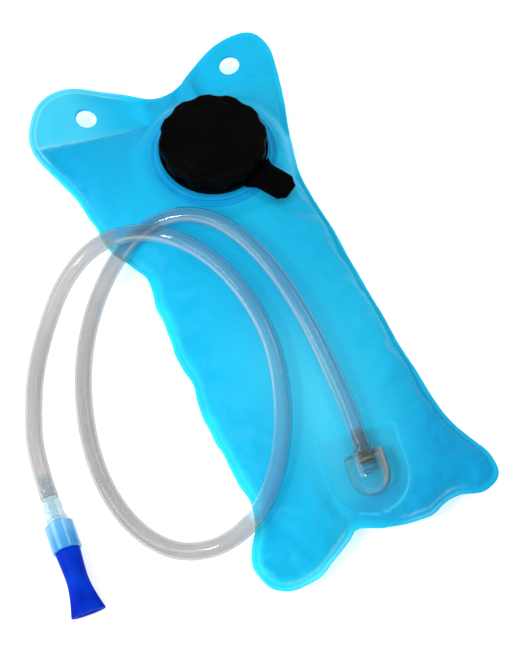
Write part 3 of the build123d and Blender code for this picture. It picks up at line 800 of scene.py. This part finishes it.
def film_plan():
    """A flat triangulation of the bag's outline, fine at the welds: points and triangles."""
    rim = loops_inside((0.6, 1.4, 2.2, 3.2, 4.2, 5.2, 6.6, 8.2))
    holes, loops = [], []
    for x, y in HANG_HOLES:
        for radius, count in ((HANG_HOLE_R, 44), (HANG_HOLE_R + 0.8, 44), (HANG_HOLE_R + 2, 40)):
            turn = np.arange(count) * tau / count
            circle = np.stack([x + radius * np.cos(turn), y + radius * np.sin(turn)], 1)
            (loops if radius == HANG_HOLE_R else holes).append(circle)
    bars = []
    for (ax, ay), (bx, by) in CROSS_WELDS:
        a, b = np.array([ax, ay]), np.array([bx, by])
        ahead = unit(b - a)
        over = np.array([-ahead[1], ahead[0]])
        for k, off in enumerate((-1.8, -0.9, 0.0, 0.9, 1.8)):
            t = np.arange(0, np.linalg.norm(b - a), 1.8)[:, None] + 0.9 * (k % 2)
            bars.append(a + ahead * t + over * off)
    bars = np.concatenate(bars)
    gap = edge_gap(bars)
    bars = bars[inside(bars) & (gap > 8.6)]
    pitch = 3.0
    rows = []
    for row, y in enumerate(np.arange(-188, 189, pitch * 0.866)):
        xs = np.arange(-90, 91, pitch) + (pitch / 2 if row % 2 else 0)
        rows.append(np.stack([xs, np.full(len(xs), y)], 1))
    field = np.concatenate(rows)
    gap = edge_gap(field)
    keep = inside(field) & (gap > 9.6)
    keep &= hole_gap(field) > HANG_HOLE_R + 4
    near = np.full(len(field), 9.0)
    for first in range(0, len(bars), 400):
        gaps = np.linalg.norm(field[:, None] - bars[None, first : first + 400], axis=-1)
        near = np.minimum(near, gaps.min(1))
    _, outside = plate_plane(field)
    field = field[keep & (near > 1.6) & ~((outside > 0.05) & (outside < 3.6))]
    everything = [EDGE, *loops, rim, *holes, bars, plate_rings(), field]
    points = np.concatenate(everything)
    edges, first = [], 0
    for loop in [EDGE, *loops]:
        count = len(loop)
        edges += [(first + k, first + (k + 1) % count) for k in range(count)]
        first += count
    flat, _, faces, _, _, _ = delaunay_2d_cdt([Vector(q) for q in points], edges, [], 0, 1e-5)
    flat = np.array([tuple(q) for q in flat])
    faces = np.array([f for f in faces if len(f) == 3])
    middles = flat[faces].mean(1)
    faces = faces[inside(middles) & (hole_gap(middles) > HANG_HOLE_R * 0.997)]
    corner = flat[faces]
    area = np.cross(corner[:, 1] - corner[:, 0], corner[:, 2] - corner[:, 0])
    faces[area < 0] = faces[area < 0][:, ::-1]
    return flat, faces


CLEFT = (-8.0, -157.0)  # the notch between the two lower corners
# How an ear is tipped about its hanging hole: hole, rise per millimetre along X and along Y.
EAR_TIPS = ((HANG_HOLES[0], -0.10, 0.22), (HANG_HOLES[1], 0.26, 0.12))

EAR_FOLD = ((25.0, 166.0), (8.0, 138.0))  # the fold from the valley between the ears to the filler


def film_heights(flat):
    """Heights of the front and the back film over the plan, and the shares that paint and cloth use."""
    gap, place, outward = to_outline(flat)
    total = np.linalg.norm(np.roll(EDGE, -1, 0) - EDGE, axis=1).sum()
    turn = place / total * tau
    ear = past_weld(flat)
    blown = np.sqrt(np.maximum(sample(FIELD, flat), 0))
    ys = np.array([row[0] for row in FILL], float)
    middle = np.sqrt(np.maximum(sample(FIELD, np.stack([np.full(len(ys), DOME_X), ys], 1)), 1))
    rise = blown * np.interp(flat[:, 1], ys, [row[1] for row in FILL] / middle)
    drop = blown * np.interp(flat[:, 1], ys, [row[2] for row in FILL] / middle)
    low = smooth(-flat[:, 1], 120, 165)
    rise *= 1 + 0.35 * low
    wave = (
        0.9 * np.sin(9 * turn + 0.6) + 0.8 * np.sin(17 * turn + 2.1) + 0.5 * np.sin(31 * turn)
    ) * np.exp(-gap / 16.0)
    # Soft creases that run in from the weld and die out.
    crease = (
        0.8 * np.abs(np.sin(21 * turn + 0.4 + 0.05 * gap)) ** 3
        + 0.5 * np.abs(np.sin(34 * turn + 1.9 - 0.04 * gap)) ** 4
    )
    crease *= smooth(gap, 3.0, 9.0) * (1 - smooth(gap, 12.0, 30.0)) * (1 - smooth(ear, -6, 0))
    ridges = weld_ridges(gap)
    ridges *= smooth(np.hypot(flat[:, 0] - CLEFT[0], flat[:, 1] - CLEFT[1]), 9.0, 24.0)
    ridges += 0.8 * np.exp(-((ear / 1.0) ** 2)) * (gap > 4)
    cell = 0.9 * smooth(ear, 1.5, 9.0) * smooth(gap, 5.0, 14.0)
    thick = np.where(gap < 0.35, 0.3, 0.62) + 0.32 * ridges + cell
    tip = np.zeros(len(flat))
    for (hx, hy), per_x, per_y in EAR_TIPS:
        mine = smooth(ear, -4.0, 12.0) * (np.sign(flat[:, 0]) == np.sign(hx))
        tip += mine * ((flat[:, 0] - hx) * per_x + (flat[:, 1] - hy) * per_y)
    middle_z = SEAM_Z + wave + tip
    (ax, ay), (bx, by) = EAR_FOLD
    ahead = unit(np.array([bx - ax, by - ay]))
    off = (flat[:, 0] - ax) * ahead[1] - (flat[:, 1] - ay) * ahead[0]
    run = (flat[:, 0] - ax) * ahead[0] + (flat[:, 1] - ay) * ahead[1]
    fold = np.exp(-((off / 2.6) ** 2)) * smooth(run, -4, 6) * (1 - smooth(run, 20, 36))
    front = middle_z + thick + rise - 0.6 * crease - 1.6 * fold * smooth(gap, 0.5, 4)
    back = np.maximum(middle_z - thick - drop, TABLE)
    axis_gap = np.hypot(flat[:, 0] - NECK_X, flat[:, 1] - NECK_Y)
    seat = 1 - smooth(axis_gap, FLANGE_R + 0.5, FLANGE_R + 14)
    front = front * (1 - seat) + (NECK_Z - 0.05) * seat
    bed, outside = plate_plane(flat)
    pad = (1 - smooth(outside, 0.6, 14.0)) * smooth(gap, 0.5, 5.0)
    front = front * (1 - pad) + (bed - 0.2) * pad
    bead = np.exp(-(((outside - 1.7) / 0.7) ** 2)) * smooth(gap, 4.0, 8.0)
    front += 0.5 * bead
    # Along the line of sight, a raised ear keeps its outline as it is seen flat.
    slide = tip * smooth(hole_gap(flat), 10, 24)
    shift = slide[:, None] * np.array([BACK.x, BACK.y]) / BACK.z
    shares = {"gap": gap, "ear": ear, "seat": seat, "pad": pad, "turn": turn, "bead": bead}
    return flat + shift + crimps(flat, turn, gap, outward), front, back, shares


FIELD = membrane()
plan, triangles = film_plan()
plan, front_z, back_z, share = film_heights(plan)
count = len(plan)
verts = np.concatenate([np.column_stack([plan, front_z]), np.column_stack([plan, back_z])])
faces = [tuple(t) for t in triangles] + [tuple(t[::-1] + count) for t in triangles]
sides = {}
for a, b, c in triangles:
    for edge in ((a, b), (b, c), (c, a)):
        sides[edge] = True
for a, b in [e for e in sides if (e[1], e[0]) not in sides]:
    faces.append((b, a, a + count, b + count))
bag = build("film_bag", verts, faces, "film_blue", "bag", ["front_film", "back_film"])
print("bag points", len(verts))


def paint_share(piece, name, values):
    """A per-point share that the piece's material reads."""
    made = piece.data.attributes.new(name, "FLOAT", "POINT")
    made.data.foreach_set("value", np.clip(values, 0, 1).astype(np.float32))


CLOTH_FRAMES = 20


def puff(piece, held, swell, cap):
    """Blows the bag up with the cloth solver, so that its welds pull it into puckers, and keeps the mesh."""
    group = piece.vertex_groups.new(name="held")
    for level in np.unique(np.round(held, 1)):
        if level > 0:
            members = np.nonzero(np.round(held, 1) == level)[0].tolist()
            group.add(members, float(level), "REPLACE")
    before = np.empty(len(piece.data.vertices) * 3)
    piece.data.vertices.foreach_get("co", before)
    cloth = piece.modifiers.new("cloth", "CLOTH")
    settings = cloth.settings
    settings.quality = 6
    settings.mass = 0.12
    settings.tension_stiffness = settings.compression_stiffness = 18
    settings.shear_stiffness = 8
    settings.bending_stiffness = 0.35
    settings.tension_damping = settings.compression_damping = 12
    settings.use_pressure = True
    settings.uniform_pressure_force = 3.0
    settings.shrink_min = -swell
    settings.vertex_group_mass = "held"
    settings.effector_weights.gravity = 0.0
    cloth.collision_settings.use_collision = False
    cloth.point_cache.frame_start, cloth.point_cache.frame_end = 1, CLOTH_FRAMES
    scene.frame_start, scene.frame_end = 1, CLOTH_FRAMES
    for number in range(1, CLOTH_FRAMES + 1):
        scene.frame_set(number)
    solved = piece.evaluated_get(bpy.context.evaluated_depsgraph_get())
    after = np.empty(len(before))
    solved.data.vertices.foreach_get("co", after)
    piece.modifiers.remove(cloth)
    scene.frame_set(1)
    before, after = before.reshape(-1, 3), after.reshape(-1, 3)
    move = after - before
    far = np.linalg.norm(move, axis=1)
    mean, most = (round(float(value) / MM, 2) for value in (far.mean(), far.max()))
    print("cloth moved", mean, "to", most, "mm")
    move *= (cap * np.tanh(far / cap) / np.maximum(far, 1e-9))[:, None]
    free = 1 - np.clip(held, 0, 1)
    moved = before + move * free[:, None]
    moved[:, 2] = np.maximum(moved[:, 2], TABLE * MM)
    piece.data.vertices.foreach_set("co", moved.ravel())
    piece.data.update()


def make_room(piece, line):
    """The film gives way where the hose, along that line, would run through it."""
    film = np.array([tuple(v.co / MM) for v in piece.data.vertices])
    for first in range(0, len(film), 2000):
        part = film[first : first + 2000]
        off = part[:, None] - line[None]
        far = np.linalg.norm(off, axis=-1)
        nearest, rows = far.argmin(1), np.arange(len(part))
        far, off = far[rows, nearest], off[rows, nearest]
        push = np.maximum(HOSE_D / 2 + HOSE_ROOM - far, 0)
        part += off / far[:, None] * push[:, None]
    film[:, 2] = np.maximum(film[:, 2], TABLE)
    piece.data.vertices.foreach_set("co", (film * MM).ravel())
    piece.data.update()


def on_hose(values):
    """Values at the points of the hose's line, one for each of its vertices."""
    return np.concatenate([np.repeat(values, HOSE_AROUND, 0)] * 2)


rim_hold = 0.55 * (1 - smooth(share["gap"], 2.0, 8.0))
calm = 0.62 * smooth(share["gap"], 16, 34)
ears = smooth(share["ear"], -3, 3)
front_hold = np.max([ears, share["seat"] > 0.55, share["pad"] > 0.75, rim_hold, calm], 0)
back_hold = np.max([ears, back_z < 0.6, rim_hold], 0)
puff(bag, np.concatenate([front_hold, back_hold]), 0.025, 0.0035)
walk = np.array([tuple(p / MM) for p in hose_path])
make_room(bag, walk)
east, north = plan[:, 0], plan[:, 1]
# Painted light along the film's edge, widest on the left below the ears and strongest towards the left.
left = smooth(-east, 15, 45) * smooth(-north, -70, -10)
painted_edge_light = 1 - smooth(share["gap"], 0.8, 5.0 + 3.6 * left)
painted_edge_light *= 0.25 + 0.75 * smooth(-east, -10, 45)
weld_share = 0.75 * weld_ridges(share["gap"])
weld_share = np.maximum(weld_share, 0.85 * np.exp(-((share["ear"] / 1.2) ** 2)) * (share["gap"] > 4))
seen_weld = 1.25 * smooth(north, 125, 145) * smooth(-east, 10, 30)
lobe = smooth(-north, 152, 168) * smooth(-east, 14, 26) * smooth(east, -72, -54)
hem = smooth(-north, 150, 162) * smooth(east, 6, 18) * smooth(-east, -58, -40)
seen_weld = np.max([seen_weld, lobe, 0.55 * hem], 0)
seen_weld = np.maximum(seen_weld, 0.25 * smooth(-east, 50, 60))
# Painted sheen on the film: a lighter patch in the middle of the front, the left ear, and the bead round the
# port's plate on its lower right.
painted_sheen = 0.85 * np.exp(-(((east + 2) / 27) ** 2) - (((north + 86) / 54) ** 2))
painted_sheen = np.maximum(painted_sheen, 0.7 * smooth(share["ear"], -1, 2) * smooth(-east, 22, 55))
painted_sheen = np.maximum(painted_sheen, share["bead"] * (0.10 + 0.65 * smooth(east - north, 135, 160)))
# Painted shade on the film: darker towards the lower right, along the bottom right edge and at the top of
# the chamber left of the filler.
painted_shade = smooth(east - 0.5 * north, 75, 130)
painted_shade = np.maximum(painted_shade, smooth(-north, 146, 160) * smooth(east, -25, -5))
upper = smooth(north, 55, 115) * smooth(-east, -35, -5) * smooth(-share["ear"], -2, 4)
painted_shade = np.maximum(painted_shade, 0.6 * upper)
for label, values in (
    ("rim", painted_edge_light), ("weld", weld_share * seen_weld), ("painted_sheen", painted_sheen), ("painted_shade", painted_shade),
):
    paint_share(bag, label, np.concatenate([values] * 2))
# The hose's shares: its inner wall, and the part of it that lies over the bag, painted bluer and clearer
# there as painted light thrown up from the bag.
walk_gap = edge_gap(walk[:, :2])
over = smooth(np.where(inside(walk[:, :2]), walk_gap, -walk_gap), -3, 2)
paint_share(hose, "over", on_hose(over))
paint_share(hose, "bore", np.repeat([0.0, 1.0], len(walk) * HOSE_AROUND))
# Its sides towards the coil's middle and away from it: a painted highlight line on the near side and painted
# shade on the far side.
spoke = np.array([tuple(v.co / MM) for v in hose.data.vertices])
spoke -= on_hose(walk)
spoke /= np.linalg.norm(spoke, axis=1)[:, None]
inward = COIL_MIDDLE - walk[:, :2]
inward /= np.linalg.norm(inward, axis=1)[:, None]
inner_side = (spoke[:, :2] * on_hose(inward)).sum(1)
painted_highlight = np.exp(-(((inner_side - 0.80) / 0.13) ** 2)) * smooth(spoke[:, 2], 0.0, 0.4)
paint_share(hose, "painted_highlight", painted_highlight * (0.25 + 0.65 * on_hose(over)))
paint_share(hose, "painted_shade_side", smooth(-inner_side, -0.25, 0.75))
finer = bag.modifiers.new("finer", "SUBSURF")
finer.levels = finer.render_levels = 1

# ---- screw cap

CAP_LOBES, LOBE_DEPTH, LOBE_HALF = 12, 1.3, 0.30
CAP_PROFILE = [
    (0, 48.0), (8, 48.0), (16, 48.0), (22, 47.98), (23.6, 47.95), (24.2, 47.8), (24.5, 47.45),
    (24.9, 47.2), (26.3, 47.2), (26.7, 47.45), (27.0, 47.8), (27.6, 47.95), (29.5, 47.98),
    (31.4, 47.9), (32.5, 47.6), (33.2, 47.05), (33.55, 46.3), (33.6, 45.4), (33.6, 43.0),
    (33.6, 40.6), (33.5, 39.9), (33.1, 39.4), (32.4, 39.22), (31.7, 39.2), (31.3, 39.0),
    (31.2, 38.6), (31.2, 37.3), (31.4, 37.0), (32.1, 36.95), (32.2, 36.8), (32.1, 36.5),
    (31.6, 36.4), (30.2, 36.4), (29.85, 36.6), (29.8, 37.2), (29.8, 45.0), (29.5, 45.35), (28.9, 45.4),
    (14, 45.4), (0, 45.4),
]


def scalloped(r, z, turn):
    """The grip's radius: its outside is scooped between the lobes."""
    phase = (turn * CAP_LOBES / tau + 0.5) % 1.0 - 0.5
    scoop = max(0.0, 1 - (phase / LOBE_HALF) ** 2)
    outer = smooth(r, 29.0, 32.6) if z > 39.1 else 0.0
    return r - LOBE_DEPTH * scoop * outer


cap = build(
    "screw_cap_skin", *lathe(CAP_PROFILE, (NECK_X, NECK_Y), 288, scalloped), "cap_black", "cap",
    ["screw_cap"],
)

# ---- leash

LEASH_ANGLE = radians(-59.0)
LEASH_OUT = Vector((cos(LEASH_ANGLE), sin(LEASH_ANGLE), 0))
LEASH_ACROSS = Vector((-LEASH_OUT.y, LEASH_OUT.x, 0))
LEASH_LOW, LEASH_HIGH = 34.9, 37.9  # mid heights of its two runs
LEASH_HALF_T = 0.9  # half its thickness
LEASH_FROM, LEASH_TO = 31.5, 33.2  # where its low run leaves the neck's ring and its high run ends
LEASH_FOLD = 55.6  # where the fold's curve starts, from the filler's axis


def leash_half_width(reach):
    """Half the strap's width, flared into its rings and cut off at the corners of its end."""
    flare = 3.2 * (1 - smooth(reach, 32.5, 40.0)) ** 1.5
    corner = 3.4 * smooth(reach, 52.5, 57.2)
    return 8.6 + flare - corner


def leash():
    """One moulded strap from the neck's ring, out, round its fold and back to the cap's ring."""
    mid, bend = (LEASH_LOW + LEASH_HIGH) / 2, (LEASH_HIGH - LEASH_LOW) / 2
    line = [(r, LEASH_LOW, 0.0, 1.0) for r in np.linspace(LEASH_FROM, LEASH_FOLD, 22)]
    for k in range(1, 12):
        a = pi * k / 12
        line.append((LEASH_FOLD + bend * sin(a), mid - bend * cos(a), sin(a), cos(a)))
    line += [(r, LEASH_HIGH, 0.0, -1.0) for r in np.linspace(LEASH_FOLD, LEASH_TO, 20)]
    centre = Vector((NECK_X, NECK_Y, 0))
    around, verts = 28, []
    for reach, z, out, ahead in line:
        half = leash_half_width(reach)
        lift = 0.35 * sin(pi * min(max((reach - 34) / 20, 0), 1)) if z > mid else 0.0
        for k in range(around):
            c, n = cos(tau * k / around), sin(tau * k / around)
            x, t = half * squared(c, 0.3), LEASH_HALF_T * squared(n, 0.55)
            shrink = 0.12 * (1 - abs(x) / half)
            spot = centre + LEASH_OUT * (reach + out * t) + LEASH_ACROSS * x
            spot.z = z + lift - ahead * (t - shrink * t)
            verts.append(spot)
    ends = [centre + LEASH_OUT * LEASH_FROM, centre + LEASH_OUT * LEASH_TO]
    ends[0].z, ends[1].z = LEASH_LOW, LEASH_HIGH
    faces = closed_faces(verts, len(line), around, ends)
    base = len(verts)
    section = [
        (29.6, 34.3), (29.8, 34.05), (32.7, 34.0), (33.0, 34.25), (33.0, 35.5), (32.75, 35.8),
        (29.85, 35.8), (29.6, 35.5),
    ]
    steps = 120
    for k in range(steps):
        a = tau * k / steps
        verts += [centre + Vector((r * cos(a), r * sin(a), z)) for r, z in section]
    n = len(section)
    faces += [tuple(base + q % (steps * n) for q in f) for f in grid_faces(steps + 1, n)]
    return verts, faces


leash_piece = build("leash_skin", *leash(), "leash_black", None)
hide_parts("leash_strap")
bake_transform(leash_piece)

# ---- the CAD nodes that stay

for name, slot in (
    ("filler_neck", "neck_blue"), ("cap_gasket", "silicone"), ("leash_cap_ring", "leash_black"),
    ("outlet_port", "clear_plastic"), ("hose_nipple", "clear_plastic"),
    ("nipple_o_ring", "o_ring_amber"), ("valve_connector", "connector_blue"),
):
    mesh = NODES[name].data
    mesh.materials.clear()
    mesh.materials.append(PAINT[slot])

# ---- floor and light

floor_mesh = bpy.data.meshes.new("floor")
floor_mesh.from_pydata([(-6, -6, 0), (6, -6, 0), (6, 6, 0), (-6, 6, 0)], [], [(0, 1, 2, 3)])
floor = bpy.data.objects.new("floor", floor_mesh)
scene.collection.objects.link(floor)
floor.location.z = -0.0005
floor_paint = Paint("floor_white")
floor_paint.colour(floor_paint.mottle(3.0, (0.93, 0.93, 0.93), (0.95, 0.95, 0.95)))
floor_paint.set(
    Roughness=0.9, Specular_IOR_Level=0.0, Emission_Color=(1.0, 1.0, 1.0, 1.0), Emission_Strength=0.45
)
floor_mesh.materials.append(floor_paint.material)

world = bpy.data.worlds.new("studio")
world.use_nodes = True
sky = world.node_tree.nodes["Background"].inputs
sky["Color"].default_value, sky["Strength"].default_value = (1.0, 1.0, 1.0, 1.0), 0.72
scene.world = world


def softbox(name, azimuth, elevation, distance, size, power):
    """A square area light that looks at the bag's middle."""
    a, e = radians(azimuth), radians(elevation)
    way = Vector((sin(a) * cos(e), -cos(a) * cos(e), sin(e)))
    data = bpy.data.lights.new(name, "AREA")
    data.size = size
    data.energy = power
    lamp = bpy.data.objects.new(name, data)
    scene.collection.objects.link(lamp)
    lamp.location = TARGET + way * distance
    lamp.rotation_mode = "QUATERNION"
    lamp.rotation_quaternion = (-way).to_track_quat("-Z", "Y")


softbox("key", -95, 40, 1.4, 0.7, 6.0)
softbox("sheen", 120, 56, 1.7, 0.5, 2.6)
softbox("strip", -68, 50, 1.2, 0.13, 3.6)

scene.view_settings.view_transform = "Standard"
scene.view_settings.look = "None"
